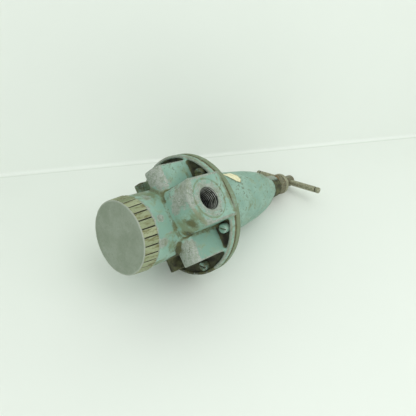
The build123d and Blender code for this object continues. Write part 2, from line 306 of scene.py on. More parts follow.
def rubberMaterial():
    material, tree, shader = newMaterial("nitrileRubber")
    bloom = mottle(tree, objectPoint(tree), 1.8, 4.0, 0.65)
    colour = mixTone(tree, band(tree, bloom, 0.45, 0.75), tone(84, 76, 40), tone(136, 124, 70))
    tree.links.new(colour, shader.inputs["Base Color"])
    tree.links.new(band(tree, bloom, 0.3, 0.7, 0.6, 0.85), shader.inputs["Roughness"])
    relief(tree, shader, bloom, 0.08, 0.6)
    return material


def labelMaterial():
    material, tree, shader = newMaterial("agedPaper")
    point = objectPoint(tree)
    fibres = mottle(tree, objectPoint(tree, (1.0, 1.0, 3.0)), 0.7, 4.0, 0.7)
    stain = mottle(tree, point, 5.0, 3.0, 0.6, 0.5)
    colour = mixTone(tree, band(tree, stain, 0.4, 0.7), tone(236, 234, 200), tone(214, 206, 160))
    browned = calc(tree, "ADD", field(tree, "rimStain"), calc(tree, "SUBTRACT", stain, 0.5))
    colour = mixTone(tree, band(tree, browned, 0.7, 1.1), colour, tone(150, 138, 92))
    tree.links.new(colour, shader.inputs["Base Color"])
    tree.links.new(band(tree, fibres, 0.3, 0.7, 0.7, 0.9), shader.inputs["Roughness"])
    relief(tree, shader, fibres, 0.05, 0.6)
    return material


finish = {
    "enamel": enamelMaterial("chippedEnamel", -0.01, 0.0, 0.8),
    "bonnetEnamel": enamelMaterial("bonnetEnamel", -0.012, -0.05, 0.7),
    "plug": plugMaterial(),
    "ribs": ribMaterial(),
    "nutSteel": oldSteelMaterial("rustyNutSteel", tone(84, 82, 60), tone(138, 136, 112), 0.02),
    "barSteel": oldSteelMaterial("dullBarSteel", tone(122, 122, 98), tone(168, 168, 144), -0.04),
    "thread": threadMaterial(),
    "brass": turnedMetalMaterial("turnedBrass", tone(204, 176, 112), tone(150, 122, 66), 0.28),
    "spring": turnedMetalMaterial("springWire", tone(150, 150, 152), tone(96, 92, 84), 0.34),
    "plate": turnedMetalMaterial("platedSteel", tone(186, 186, 180), tone(140, 136, 120), 0.36),
    "rubber": rubberMaterial(),
    "label": labelMaterial(),
}
print("finishes made:", len(finish))


# mesh helpers
def linked(mesh, name):
    obj = bpy.data.objects.new(name, mesh)
    scene.collection.objects.link(obj)
    return obj


def bake(obj):
    # the evaluated shape becomes a plain mesh and the modifiers go
    graph = bpy.context.evaluated_depsgraph_get()
    mesh = bpy.data.meshes.new_from_object(obj.evaluated_get(graph))
    obj.modifiers.clear()
    obj.data = mesh
    return obj


def verts(mesh):
    co = np.empty(len(mesh.vertices) * 3, np.float32)
    mesh.vertices.foreach_get("co", co)
    return co.reshape(-1, 3).astype(np.float64)


def setVerts(mesh, co):
    mesh.vertices.foreach_set("co", co.astype(np.float32).ravel())
    mesh.update()


def normals(mesh):
    found = np.empty(len(mesh.vertices) * 3, np.float32)
    mesh.vertices.foreach_get("normal", found)
    return found.reshape(-1, 3).astype(np.float64)


def neighbourMean(mesh):
    ends = np.empty(len(mesh.edges) * 2, np.int32)
    mesh.edges.foreach_get("vertices", ends)
    a, b = ends.reshape(-1, 2).T
    n = len(mesh.vertices)
    count = np.maximum(np.bincount(a, minlength=n) + np.bincount(b, minlength=n), 1)

    def mean(values):
        if values.ndim == 2:
            return np.stack([mean(values[:, i]) for i in range(values.shape[1])], 1)
        return (np.bincount(a, values[b], n) + np.bincount(b, values[a], n)) / count
    return mean


def store(mesh, name, values):
    layer = mesh.attributes.get(name) or mesh.attributes.new(name, "FLOAT", "POINT")
    layer.data.foreach_set("value", np.clip(values, 0, 1.5).astype(np.float32))


def smooth01(x, low, high):
    t = np.clip((x - low) / (high - low), 0, 1)
    return t * t * (3 - 2 * t)


def castCopy(nodeNames, name, cellMm, rounding=2, fillets=0, dentMm=0.0, wearGain=1.0):
    # a fine, even skin over the CAD solids, with rounded edges, filled creases and slight dents
    joined = bmesh.new()
    for nodeName in nodeNames:
        joined.from_mesh(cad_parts[nodeName].data)
    bmesh.ops.remove_doubles(joined, verts=joined.verts, dist=1e-7)
    mesh = bpy.data.meshes.new(name)
    joined.to_mesh(mesh)
    joined.free()
    low = verts(mesh).min(0)
    high = verts(mesh).max(0)
    obj = linked(mesh, name)
    skin = obj.modifiers.new("skin", "REMESH")
    skin.mode = "VOXEL"
    skin.voxel_size = cellMm * mm
    bake(obj)
    mesh = obj.data
    mean = neighbourMean(mesh)
    co = verts(mesh)
    for _ in range(rounding):
        co = co + 0.5 * (mean(co) - co)
    setVerts(mesh, co)
    if fillets:
        bend = ((mean(co) - co) * normals(mesh)).sum(1) / (cellMm * mm)
        for _ in range(4):
            bend = mean(bend)
        crease = smooth01(bend, 0.045, 0.1)
        for _ in range(3):
            crease = np.maximum(crease, mean(crease))
        for _ in range(fillets):
            co = co + 0.6 * crease[:, None] * (mean(co) - co)
        setVerts(mesh, co)
    bend = -((mean(co) - co) * normals(mesh)).sum(1) / (cellMm * mm)
    for _ in range(2):
        bend = mean(bend)
    store(mesh, "edgeWear", smooth01(bend * wearGain, 0.02, 0.14))
    # concave places, a mask both for painted shade in creases and for dirt and dust gathered there
    hollowShadeAndDirt = -bend
    for _ in range(3):
        hollowShadeAndDirt = mean(hollowShadeAndDirt)
    store(mesh, "hollowShadeAndDirt", smooth01(hollowShadeAndDirt * wearGain, 0.01, 0.07))
    if dentMm:
        up = normals(mesh)
        dents = np.array([noise.noise(Vector(p) * 240) + 0.6 * noise.noise(Vector(p) * 620) for p in co])
        nicks = np.array([noise.noise(Vector(p) * 420 + Vector((7, 3, 1))) for p in co])
        depth = 0.5 * (dents + 1.0) + 2.2 * smooth01(bend * wearGain, 0.03, 0.14) * smooth01(nicks, 0.1, 0.5)
        co = co - up * (depth * dentMm * mm)[:, None]
    co = np.clip(co, low, high)
    setVerts(mesh, co)
    mesh.shade_smooth()
    return obj


def dress(obj, material, body, slot, *nodes):
    obj.data.materials.clear()
    obj.data.materials.append(material)
    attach(obj, body)
    if nodes:
        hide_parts(*nodes)
    return obj


def lathe(name, profile, around):
    # profile points are (radius, height) in mm, on the axis where the radius is 0
    shape = bmesh.new()
    rings = []
    for radius, z in profile:
        if radius <= 0:
            rings.append([shape.verts.new((0, 0, z * mm))])
            continue
        turn = [2 * math.pi * k / around for k in range(around)]
        circle = [(radius * mm * math.cos(t), radius * mm * math.sin(t), z * mm) for t in turn]
        rings.append([shape.verts.new(p) for p in circle])
    for low, high in zip(rings, rings[1:]):
        for k in range(around):
            k2 = (k + 1) % around
            corners = [low[k % len(low)], low[k2 % len(low)], high[k2 % len(high)], high[k % len(high)]]
            unique = list(dict.fromkeys(corners))
            if len(unique) > 2:
                shape.faces.new(unique)
    bmesh.ops.recalc_face_normals(shape, faces=shape.faces)
    mesh = bpy.data.meshes.new(name)
    shape.to_mesh(mesh)
    shape.free()
    return linked(mesh, name)


# Geometry Nodes helpers
def newTree(name, inputs):
    tree = bpy.data.node_groups.new(name, "GeometryNodeTree")
    tree.interface.new_socket("Geometry", in_out="OUTPUT", socket_type="NodeSocketGeometry")
    tree.interface.new_socket("Geometry", in_out="INPUT", socket_type="NodeSocketGeometry")
    for label, kind in inputs:
        tree.interface.new_socket(label, in_out="INPUT", socket_type="NodeSocket" + kind)
    return tree, tree.nodes.new("NodeGroupInput"), tree.nodes.new("NodeGroupOutput")


def runTree(obj, tree, values):
    modifier = obj.modifiers.new(tree.name, "NODES")
    modifier.node_group = tree
    for item in tree.interface.items_tree:
        if item.in_out == "INPUT" and item.name in values:
            modifier[item.identifier] = values[item.name]
    return bake(obj)


def finishTree(tree, geometry, groupIn, groupOut):
    real = tree.nodes.new("GeometryNodeRealizeInstances")
    coat = tree.nodes.new("GeometryNodeSetMaterial")
    tree.links.new(geometry, real.inputs[0])
    tree.links.new(real.outputs[0], coat.inputs["Geometry"])
    tree.links.new(groupIn.outputs["Finish"], coat.inputs["Material"])
    tree.links.new(coat.outputs[0], groupOut.inputs[0])


def ringTree():
    # a part repeated evenly round the axis, each copy a little different in size and tint
    tree, groupIn, groupOut = newTree("ringOfParts", [
        ("Part", "Object"), ("Count", "Int"), ("Radius", "Float"), ("Size Variation", "Float"),
        ("Seed", "Int"), ("Finish", "Material")])
    nodes, links = tree.nodes, tree.links
    circle = nodes.new("GeometryNodeMeshCircle")
    links.new(groupIn.outputs["Count"], circle.inputs["Vertices"])
    links.new(groupIn.outputs["Radius"], circle.inputs["Radius"])
    place = nodes.new("GeometryNodeInputPosition")
    aim = nodes.new("FunctionNodeAlignEulerToVector")
    aim.axis = "X"
    aim.pivot_axis = "Z"
    links.new(place.outputs[0], aim.inputs["Vector"])
    part = nodes.new("GeometryNodeObjectInfo")
    links.new(groupIn.outputs["Part"], part.inputs["Object"])
    change = nodes.new("FunctionNodeRandomValue")
    change.data_type = "FLOAT_VECTOR"
    links.new(groupIn.outputs["Seed"], change.inputs["Seed"])
    lowEnd = nodes.new("ShaderNodeMath")
    lowEnd.operation = "SUBTRACT"
    lowEnd.inputs[0].default_value = 1.0
    links.new(groupIn.outputs["Size Variation"], lowEnd.inputs[1])
    lowVector = nodes.new("ShaderNodeCombineXYZ")
    for i in range(3):
        links.new(lowEnd.outputs[0], lowVector.inputs[i])
    links.new(lowVector.outputs[0], change.inputs["Min"])
    change.inputs["Max"].default_value = (1, 1, 1)
    copies = nodes.new("GeometryNodeInstanceOnPoints")
    links.new(circle.outputs[0], copies.inputs["Points"])
    links.new(part.outputs["Geometry"], copies.inputs["Instance"])
    links.new(aim.outputs[0], copies.inputs["Rotation"])
    links.new(change.outputs["Value"], copies.inputs["Scale"])
    tint = nodes.new("FunctionNodeRandomValue")
    tint.data_type = "FLOAT"
    links.new(groupIn.outputs["Seed"], tint.inputs["Seed"])
    mark = nodes.new("GeometryNodeStoreNamedAttribute")
    mark.data_type = "FLOAT"
    mark.domain = "INSTANCE"
    mark.inputs["Name"].default_value = "ribTint"
    links.new(copies.outputs[0], mark.inputs["Geometry"])
    links.new(tint.outputs[1], mark.inputs["Value"])
    finishTree(tree, mark.outputs[0], groupIn, groupOut)
    return tree


def helixTree():
    # one thread ridge wound along Z
    tree, groupIn, groupOut = newTree("threadHelix", [
        ("Radius", "Float"), ("End Radius", "Float"), ("Length", "Float"), ("Turns", "Float"),
        ("Ridge", "Float"), ("Finish", "Material")])
    nodes, links = tree.nodes, tree.links
    spiral = nodes.new("GeometryNodeCurveSpiral")
    spiral.inputs["Resolution"].default_value = 44
    links.new(groupIn.outputs["Turns"], spiral.inputs["Rotations"])
    links.new(groupIn.outputs["Radius"], spiral.inputs["Start Radius"])
    links.new(groupIn.outputs["End Radius"], spiral.inputs["End Radius"])
    links.new(groupIn.outputs["Length"], spiral.inputs["Height"])
    section = nodes.new("GeometryNodeCurvePrimitiveCircle")
    section.inputs["Resolution"].default_value = 8
    links.new(groupIn.outputs["Ridge"], section.inputs["Radius"])
    sweep = nodes.new("GeometryNodeCurveToMesh")
    sweep.inputs["Fill Caps"].default_value = True
    links.new(spiral.outputs[0], sweep.inputs["Curve"])
    links.new(section.outputs[0], sweep.inputs["Profile Curve"])
    finishTree(tree, sweep.outputs[0], groupIn, groupOut)
    return tree


def scatterTree():
    # a part set on each point of the base mesh, turned at random about Z
    tree, groupIn, groupOut = newTree("partsOnPoints", [
        ("Part", "Object"), ("Seed", "Int"), ("Finish", "Material")])
    nodes, links = tree.nodes, tree.links
    part = nodes.new("GeometryNodeObjectInfo")
    links.new(groupIn.outputs["Part"], part.inputs["Object"])
    turn = nodes.new("FunctionNodeRandomValue")
    turn.data_type = "FLOAT_VECTOR"
    turn.inputs["Min"].default_value = (0, 0, 0)
    turn.inputs["Max"].default_value = (0, 0, 6.283)
    links.new(groupIn.outputs["Seed"], turn.inputs["Seed"])
    copies = nodes.new("GeometryNodeInstanceOnPoints")
    links.new(groupIn.outputs["Geometry"], copies.inputs["Points"])
    links.new(part.outputs["Geometry"], copies.inputs["Instance"])
    links.new(turn.outputs["Value"], copies.inputs["Rotation"])
    finishTree(tree, copies.outputs[0], groupIn, groupOut)
    return tree


# body casting; lengths in every table are in mm
casting = {
    "cell": 0.9, "rounding": 2, "fillets": 26, "dents": 0.09, "edgeGain": 1.9,
    "portZ": 58.7, "gaugeX": 22.8, "gaugeZ": 57.0, "grooveRadius": 18.0,
    # rubbed or bare places: x, y, z, reach in mm, strength
    "bare": [
        (30, -31, 43, 11, 0.75), (30, -44, 43, 7, 1.0), (9, -56, 83, 5, 0.4), (54, -10, 36, 10, 0.6),
        (44, -2, 34, 6, 0.45), (61, -16, 38, 8, 0.6), (28, -23, 27, 6, 0.6), (33, -16, 30, 4, 0.4),
        (36, -1, 23, 4.5, 0.6), (30, 21, 20, 5, 0.6), (30, 21, 31, 3, 0.45), (31, 31, 44, 9, 0.85),
        (26, 34, 42, 7, 0.85), (30, 45, 43, 6, 0.8), (34.5, 41, 52, 6, 0.4), (63, 20, 46, 6, 0.45),
        (50, 21, 60, 6, 0.3), (-54, 8, 36, 10, 0.6), (-63, -14, 40, 7, 0.6), (-34, -10, 24, 6, 0.6),
        (-20, 31, 26, 6, 0.6), (20, -44, 43, 7, 0.7), (-15, 46, 62, 6, 0.5), (34, -1, 24.6, 4, 0.8),
        (27.6, 19.7, 23, 6, 0.75), (22.7, -25.2, 27, 6, 0.6), (16, 30, 12, 6, 0.5), (24, 24, 37, 5, 0.5),
        (31.3, 13, 30, 3, 0.5), (31.5, -12.6, 19, 3.5, 0.5),
    ],
    # olive dust: x, y, z, reach, strength
    "dust": [
        (37, 20, 42, 14, 0.35), (45, 21, 60, 12, 0.25), (28, -22, 34, 9, 0.5), (12, -46, 52, 9, 0.35),
        (54, -16, 40, 9, 0.3),
        (8, 33, 25, 9, 0.6), (22, 27, 33, 7, 0.55), (16, -30, 28, 12, 0.55), (27, 20, 27, 7, 0.3),
        (-15, -44, 60, 14, 0.9), (8, -50, 72, 10, 0.5), (-15, 44, 60, 12, 0.8),
    ],
    # dirty places: x, y, z, reach, strength
    "grime": [
        (48, 10, 36, 8, 0.35), (53, 17, 39, 9, 0.6), (38, 21, 42, 7, 0.8), (46, 22, 52, 9, 0.4),
        (37, -17, 39, 6, 0.6), (-12, -44, 56, 11, 0.8), (4, 36, 49, 10, 0.8), (-14, 42, 58, 14, 1.0),
        (20, 30, 40, 7, 0.7), (-38, 20, 40, 8, 0.6), (-38, -20, 40, 8, 0.6), (14, -38, 62, 8, 0.6),
        (36, -30, 74, 6, 0.5),
    ],
}


def spots(co, places):
    total = np.zeros(len(co))
    for x, y, z, reach, strength in places:
        away = np.linalg.norm(co - np.array([x, y, z]) * mm, axis=1) / (reach * mm)
        total += strength * np.clip(1.3 - away, 0, 1)
    return total


def makeBody():
    obj = castCopy(["body"], "bodyCasting", casting["cell"], casting["rounding"], casting["fillets"],
                   casting["dents"], casting["edgeGain"])
    mesh = obj.data
    co = verts(mesh)
    x, y, z = co.T / mm
    axial = np.hypot(x, y)
    portRadius = np.hypot(y, z - casting["portZ"])
    gaugeRadius = np.hypot(x - casting["gaugeX"], z - casting["gaugeZ"])
    face = smooth01(np.abs(x), 62.4, 63.2)
    bare = spots(co, casting["bare"])
    groove = smooth01(np.abs(portRadius - casting["grooveRadius"]), 1.1, 0.4) * smooth01(np.abs(x), 61.5, 62.6)
    bare += face * (0.34 + 0.2 * smooth01(portRadius, 17.5, 16.5)) - groove * 0.3
    bare += smooth01(np.abs(y), 46.2, 46.8) * 0.35 * (gaugeRadius < 13)
    grime = spots(co, casting["grime"])
    inside = smooth01(axial, 59.5, 57.5)
    grime += inside * smooth01(z, 79.5, 83.0) * 1.1
    grime += smooth01(axial, 39.0, 37.0) * smooth01(z, 46, 64) * 0.7
    fromGroove = np.abs(portRadius - casting["grooveRadius"])
    grime += smooth01(fromGroove, 1.3, 0.5) * smooth01(np.abs(x), 61.5, 62.6) * 0.22
    # painted shade: near black in the depth of the ports, in the pockets under the flange (there mixed with
    # real dirt) and round one lug, where shadow falls
    pipeBore = smooth01(portRadius, 10.9, 10.2) * smooth01(np.abs(x), 20, 24) * smooth01(np.abs(x), 63.4, 62.2)
    gaugeBore = smooth01(gaugeRadius, 7.0, 6.4) * smooth01(np.abs(y), 46.8, 45.8) * (np.abs(y) > 20)
    pockets = inside * smooth01(z, 80.5, 83.2) * 0.6
    lugShade = smooth01(y, 30, 38) * smooth01(x, 0, -6) * smooth01(z, 60, 50) * 0.45
    shadeAndSoot = np.maximum(np.maximum(np.maximum(pipeBore, pockets), gaugeBore), lugShade)
    # the gauge bosses' noses are worn bare, the outlet's nose bare on one half and dusty on the other
    nose = smooth01(z, 47.5, 44.5) * smooth01(np.abs(y), 31, 34)
    nose *= smooth01(np.abs(x - casting["gaugeX"]), 13.0, 11.5)
    outletNose = smooth01(z, 44.5, 41.5) * smooth01(x, 36, 40)
    bare += nose * 0.85 + outletNose * 0.45 * (y < 3)
    dust = outletNose * smooth01(y, -4, 12) * 0.55 + smooth01(axial, 59.5, 60.5) * smooth01(z, 79, 81) * 0.36
    dust += face * (0.05 + 0.2 * smooth01(portRadius, 22, 25)) + groove * 0.6
    dust += 0.35 * smooth01(axial, 40, 36) * smooth01(y, -20, -32)
    dust += spots(co, casting["dust"])
    grime += smooth01(y, 30, 34) * smooth01(x, 13, 9) * smooth01(z, 30, 36) * 0.8
    store(mesh, "dust", dust)
    store(mesh, "bare", bare)
    store(mesh, "grime", grime)
    store(mesh, "shadeAndSoot", shadeAndSoot)
    store(mesh, "chips", smooth01(z, 20, 40) * 0.4)
    return dress(obj, finish["enamel"], "housing", "painted_casting", "body")


makeBody()
print("body casting made")


# tapered bonnet
bonnet = {"cell": 1.0, "rounding": 1, "fillets": 8, "dents": 0.07,
          "dust": [(20, -12, 205, 12, 0.5), (36, 8, 120, 12, 0.3), (30, 18, 150, 12, 0.3),
                   (26, 4, 190, 9, 0.3)],
          "bare": [(21, -15, 204, 7, 0.5), (24, -13, 190, 5, 0.4), (33, -2, 147, 5, 0.3),
                   (-30, 10, 150, 8, 0.5), (10, 28, 160, 7, 0.4)]}


def makeBonnet():
    obj = castCopy(["bonnet"], "bonnetShell", bonnet["cell"], bonnet["rounding"], bonnet["fillets"],
                   bonnet["dents"])
    mesh = obj.data
    co = verts(mesh)
    x, y, z = co.T / mm
    axial = np.hypot(x, y)
    # painted light: the end boss is lighter on its upper side (more bare metal) and darker underneath (more
    # grime), as the light falls on it
    litUpperSide = smooth01(y, -3, -9)
    rim = smooth01(z, 96.6, 95.4) * smooth01(axial, 40, 42)
    store(mesh, "bare", spots(co, bonnet["bare"]) + smooth01(z, 221, 226) * (0.35 + 0.5 * litUpperSide) + rim * 0.5)
    grime = smooth01(z, 97.0, 95.0) * smooth01(axial, 60.5, 58.0) * 0.5
    grime += smooth01(z, 224, 227) * (1.15 - 0.95 * litUpperSide)
    grime += smooth01(z, 89.4, 88.6) * 0.55 + rim * 0.2
    store(mesh, "grime", grime)
    store(mesh, "dust", smooth01(axial, 59.5, 60.5) * 0.34 + rim * 0.5 + spots(co, bonnet["dust"]))
    store(mesh, "chips", smooth01(z, 100, 130) * 0.6)
    return dress(obj, finish["bonnetEnamel"], "housing", "painted_casting", "bonnet")


makeBonnet()
print("bonnet made")


# bottom plug: a turned core with ribs round it
plug = {"ribs": 28, "coreRadius": 33.3, "frontRadius": 34.0, "backRadius": 35.2, "height": 15.5, "gap": 1.3,
        "sizeVariation": 0.012, "seed": 5}


def makePlug():
    r = plug["coreRadius"]
    # front face and its rim, the ribs' seat, the spigot, then the guide post
    profile = [(0, 0), (8, 0), (16, 0), (24, 0), (30, 0), (32, 0), (33.3, 0.05), (33.8, 0.3), (33.95, 0.7)]
    profile += [(33.7, 1.1), (r, 1.3), (r, 4), (r, 8), (r, 12), (r, 15.0), (r - 0.3, 15.4), (29, 15.5)]
    profile += [(26.95, 15.6), (26.95, 29.7), (26.6, 30)]
    profile += [(13.4, 30), (13.4, 24), (8.6, 24), (8.6, 35.7), (8.3, 36), (6.3, 36), (4.1, 36)]
    profile += [(4.06, 25), (0, 25)]
    core = lathe("plugCore", profile, 224)
    co = verts(core.data)
    x, y, z = co.T / mm
    axial = np.hypot(x, y)
    ripple = np.array([noise.noise(Vector(p) * 130) for p in co])
    rim = smooth01(axial, 31.0, 33.6) * smooth01(z, 2.0, 0.6)
    co[:, 2] += (0.05 + 0.05 * ripple) * mm * (z < 0.2) * (axial < 33)
    angle = np.arctan2(y, x)
    bite = 0.12 * (1 + np.sin(angle * 9 + 1)) * (0.5 + 0.5 * np.sin(angle * 23))
    shrink = 1 - rim * bite / 34.0
    co[:, 0] *= shrink
    co[:, 1] *= shrink
    setVerts(core.data, co)
    store(core.data, "edgeWear", rim * 0.9)
    store(core.data, "grime", smooth01(z, 1.0, 1.6) * smooth01(axial, 32.0, 33.0))
    core.data.shade_smooth()
    bevel = core.modifiers.new("soften", "BEVEL")
    bevel.width = 0.15 * mm
    bevel.limit_method = "ANGLE"
    bevel.angle_limit = math.radians(50)
    bake(core)
    dress(core, finish["plug"], "housing", "plug_casting", "bottom_plug")
    # one rib, leaning outward to the back, bevelled and slightly uneven
    half = (2 * math.pi * 34.6 / plug["ribs"] - plug["gap"]) / 2
    shape = bmesh.new()
    cols, rows = 5, 10
    grid = []
    for j in range(rows + 1):
        z = 0.75 + (plug["height"] - 0.8) * j / rows
        outer = plug["frontRadius"] + (plug["backRadius"] - plug["frontRadius"]) * z / plug["height"] - 0.04
        inner = plug["coreRadius"] - 0.5
        line = [(inner, -half), (outer - 0.35, -half)]
        for i in range(1, cols):
            side = -half + 2 * half * i / cols
            line.append((math.sqrt(outer ** 2 - side ** 2) - 0.02, side))
        line += [(outer - 0.35, half), (inner, half)]
        grid.append([shape.verts.new((a * mm, b * mm, z * mm)) for a, b in line])
    for low, high in zip(grid, grid[1:]):
        for k in range(len(low) - 1):
            shape.faces.new((low[k], low[k + 1], high[k + 1], high[k]))
        shape.faces.new((low[-1], low[0], high[0], high[-1]))
    shape.faces.new(list(reversed(grid[0])))
    shape.faces.new(grid[-1])
    bmesh.ops.recalc_face_normals(shape, faces=shape.faces)
    mesh = bpy.data.meshes.new("ribTemplate")
    shape.to_mesh(mesh)
    shape.free()
    rib = linked(mesh, "ribTemplate")
    bevel = rib.modifiers.new("soften", "BEVEL")
    bevel.width = 0.32 * mm
    bevel.segments = 2
    bevel.limit_method = "ANGLE"
    bevel.angle_limit = math.radians(35)
    bake(rib)
    co = verts(rib.data)
    nudge = np.array([noise.noise(Vector(p) * 500) for p in co])
    inner = co[:, 0] < (plug["coreRadius"] + 0.1) * mm
    side = smooth01(np.abs(co[:, 1]) / mm, half - 0.7, half - 0.1)
    store(rib.data, "edgeWear", side * 0.8 * ~inner)
    flank = smooth01(np.abs(co[:, 1]) / mm, half - 0.05, half + 0.01) * (co[:, 0] < 34.2 * mm)
    store(rib.data, "grime", inner * 1.0 + 0.5 * flank)
    co[:, 0] -= (0.06 + 0.06 * nudge) * mm
    co[:, 0] -= plug["coreRadius"] * mm
    setVerts(rib.data, co)
    ring = linked(bpy.data.meshes.new("plugRibs"), "plugRibs")
    runTree(ring, ringTree(), {"Part": rib, "Count": plug["ribs"], "Radius": plug["coreRadius"] * mm,
                               "Size Variation": plug["sizeVariation"], "Seed": plug["seed"],
                               "Finish": finish["ribs"]})
    bpy.data.objects.remove(rib)
    ring.data.shade_smooth()
    ring.data.set_sharp_from_angle(angle=math.radians(38))
    dress(ring, finish["ribs"], "housing", "plug_casting")


makePlug()
print("plug made")


# threads in the four ports
threads = {"pipePitch": 2.1, "pipeRadius": 9.95, "pipeLength": 18.2, "pipeRidge": 0.42,
           "gaugePitch": 1.411, "gaugeRadius": 6.25, "gaugeLength": 12.5, "gaugeRidge": 0.34,
           "taper": 0.35}


def makeThread(tree, name, kind, place):
    length = threads[kind + "Length"]
    obj = linked(bpy.data.meshes.new(name), name)
    radius = threads[kind + "Radius"]
    runTree(obj, tree, {"Radius": radius * mm, "End Radius": (radius - threads["taper"]) * mm,
                        "Length": length * mm, "Turns": length / threads[kind + "Pitch"],
                        "Ridge": threads[kind + "Ridge"] * mm, "Finish": finish["thread"]})
    x, y, z = verts(obj.data).T / mm
    store(obj.data, "depth", z / length)
    store(obj.data, "crest", smooth01(np.hypot(x, y), radius - 0.2, radius - 0.38))
    obj.data.transform(place)
    obj.data.shade_smooth()
    dress(obj, finish["thread"], "housing", "painted_casting")


def makeThreads():
    tree = helixTree()
    for name, side in (("outletThread", 1), ("inletThread", -1)):
        turn = Matrix.Rotation(math.radians(-90 * side), 4, "Y")
        place = Matrix.Translation((side * 62.6 * mm, 0, casting["portZ"] * mm)) @ turn
        makeThread(tree, name, "pipe", place)
    for name, side in (("gaugeThreadA", 1), ("gaugeThreadB", -1)):
        turn = Matrix.Rotation(math.radians(90 * side), 4, "X")
        place = Matrix.Translation((casting["gaugeX"] * mm, side * 46.0 * mm, casting["gaugeZ"] * mm)) @ turn
        makeThread(tree, name, "gauge", place)


makeThreads()
print("port threads made")


# clamping screws under the flange
clampScrews = {"circle": 53.0, "angles": (32, 90, 148, 212, 270, 328), "cell": 0.34, "seed": 11,
               "rust": (0.1, 0.7, 0.8, 0.9, 0.7, 0.8)}


def makeScrews():
    head = castCopy(["bonnet_screws"], "clampScrewTemplate", clampScrews["cell"], 2, 0, 0.03, 1.4)
    first = math.radians(clampScrews["angles"][0])
    centre = Vector((math.cos(first), math.sin(first), 0)) * clampScrews["circle"] * mm
    shape = bmesh.new()
    shape.from_mesh(head.data)
    # only the first screw of the group is kept
    others = [v for v in shape.verts if (Vector((v.co.x, v.co.y, 0)) - centre).length > 8 * mm]
    bmesh.ops.delete(shape, geom=others, context="VERTS")
    shape.to_mesh(head.data)
    shape.free()
    head.data.transform(Matrix.Translation(-centre))
    points = bpy.data.meshes.new("clampScrews")
    turned = [math.radians(a) for a in clampScrews["angles"]]
    circle = clampScrews["circle"] * mm
    points.from_pydata([(circle * math.cos(a), circle * math.sin(a), 0) for a in turned], [], [])
    store(points, "grime", np.array(clampScrews["rust"]))
    obj = linked(points, "clampScrews")
    runTree(obj, scatterTree(), {"Part": head, "Seed": clampScrews["seed"], "Finish": finish["enamel"]})
    bpy.data.objects.remove(head)
    obj.data.shade_smooth()
    dress(obj, finish["enamel"], "housing", "painted_casting", "bonnet_screws")


makeScrews()
print("clamping screws made")


# adjusting gear: threaded spindle with rounded head, tee bar, lock nut and collar
gear = {"threadPitch": 1.75, "threadDepth": 0.95, "threadTop": 265.4, "barAngle": 38}


def makeGear():
    screw = castCopy(["adjusting_screw"], "adjustingScrew", 0.42, 2, 0, 0.03, 1.2)
    co = verts(screw.data)
    x, y, z = co.T / mm
    axial = np.hypot(x, y)
    phase = (z / gear["threadPitch"] - np.arctan2(y, x) / (2 * math.pi)) % 1.0
    groove = 1 - np.abs(phase - 0.5) * 2
    cut = smooth01(groove, 0.15, 0.95) * gear["threadDepth"]
    top = gear["threadTop"]
    cut *= smooth01(axial, 5.2, 5.6) * smooth01(z, top + 0.6, top - 0.4)
    cut *= smooth01(z, 208.0, 210.0) * (axial < 6.3)
    scale = 1 - cut / np.maximum(axial, 1)
    co[:, 0] *= scale
    co[:, 1] *= scale
    setVerts(screw.data, co)
    # the thread grooves are marked for painted shade
    store(screw.data, "hollowShadeAndDirt", cut / gear["threadDepth"])
    store(screw.data, "rust", smooth01(z, 270, 262) * 0.1)
    dress(screw, finish["nutSteel"], "screw", "steel_hardware", "adjusting_screw")

    bar = castCopy(["tee_bar"], "teeBar", 0.42, 2, 0, 0.05, 1.0)
    co = verts(bar.data)
    x, y, z = co.T / mm
    lean = math.radians(gear["barAngle"])
    along = np.abs(x * math.cos(lean) + y * math.sin(lean))
    store(bar.data, "rust", smooth01(np.abs(along - 40), 5, 1) * 0.06)
    # the groove near the bar's end is marked for painted shade
    store(bar.data, "hollowShadeAndDirt", smooth01(np.abs(along - 41.8), 1.0, 0.4) * 0.8)
    dress(bar, finish["barSteel"], "screw", "steel_hardware", "tee_bar")

    nut = castCopy(["lock_nut"], "lockNut", 0.34, 2, 0, 0.07, 1.2)
    co = verts(nut.data)
    x, y, z = co.T / mm
    store(nut.data, "rust", 0.16 * smooth01(y, 2, -9))
    dress(nut, finish["nutSteel"], "nut", "steel_hardware", "lock_nut")

    collar = castCopy(["jam_collar"], "jamCollar", 0.34, 2, 0, 0.05, 1.2)
    dress(collar, finish["barSteel"], "collar", "steel_hardware", "jam_collar")


makeGear()
print("adjusting gear made")


# torn paper label on the bonnet's taper
# the outline is (distance round the bonnet, height); taper is (height, radius) at its two ends
label = {"outline": [(-8, 135), (-3, 134.4), (4, 137), (10, 141), (12, 147), (7, 152), (0, 153.6), (-7, 149)],
         "taper": ((98.2, 38.6), (160.0, 31.6)), "turn": -38.0, "rings": 12, "around": 96, "curl": 0.7,
         "thickness": 0.12}


